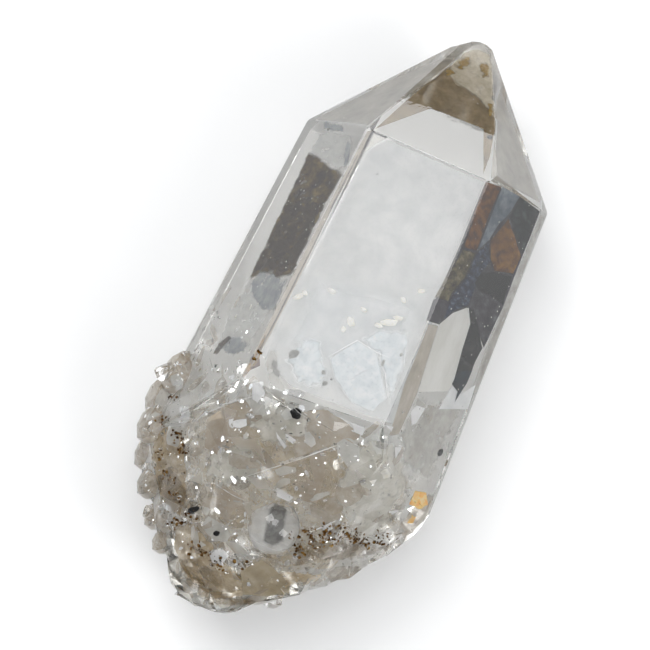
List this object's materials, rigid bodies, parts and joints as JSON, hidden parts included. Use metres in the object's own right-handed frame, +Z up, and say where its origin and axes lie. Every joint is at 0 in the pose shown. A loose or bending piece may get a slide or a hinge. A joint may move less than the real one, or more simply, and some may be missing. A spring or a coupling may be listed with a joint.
{
  "type": "clear quartz point",
  "caption": "Clear six-sided quartz crystal with a pointed termination, lying on a prism face, its broken base crusted with small crystals.",
  "frame": {"origin": "under the middle of the bounding box, on the surface that the crystal lies on", "axes": "+Y along the crystal towards its point, +Z up from the lower prism face, +X to the right seen from above with the point away from the viewer"},
  "size_m": [0.03, 0.0602, 0.0236],
  "materials": {
    "clear_quartz": "glassy natural crystal faces, colourless, with cloudy and iron-stained base"
  },
  "bodies": {
    "root": {"quartz_point": "clear_quartz"}
  },
  "joints": []
}
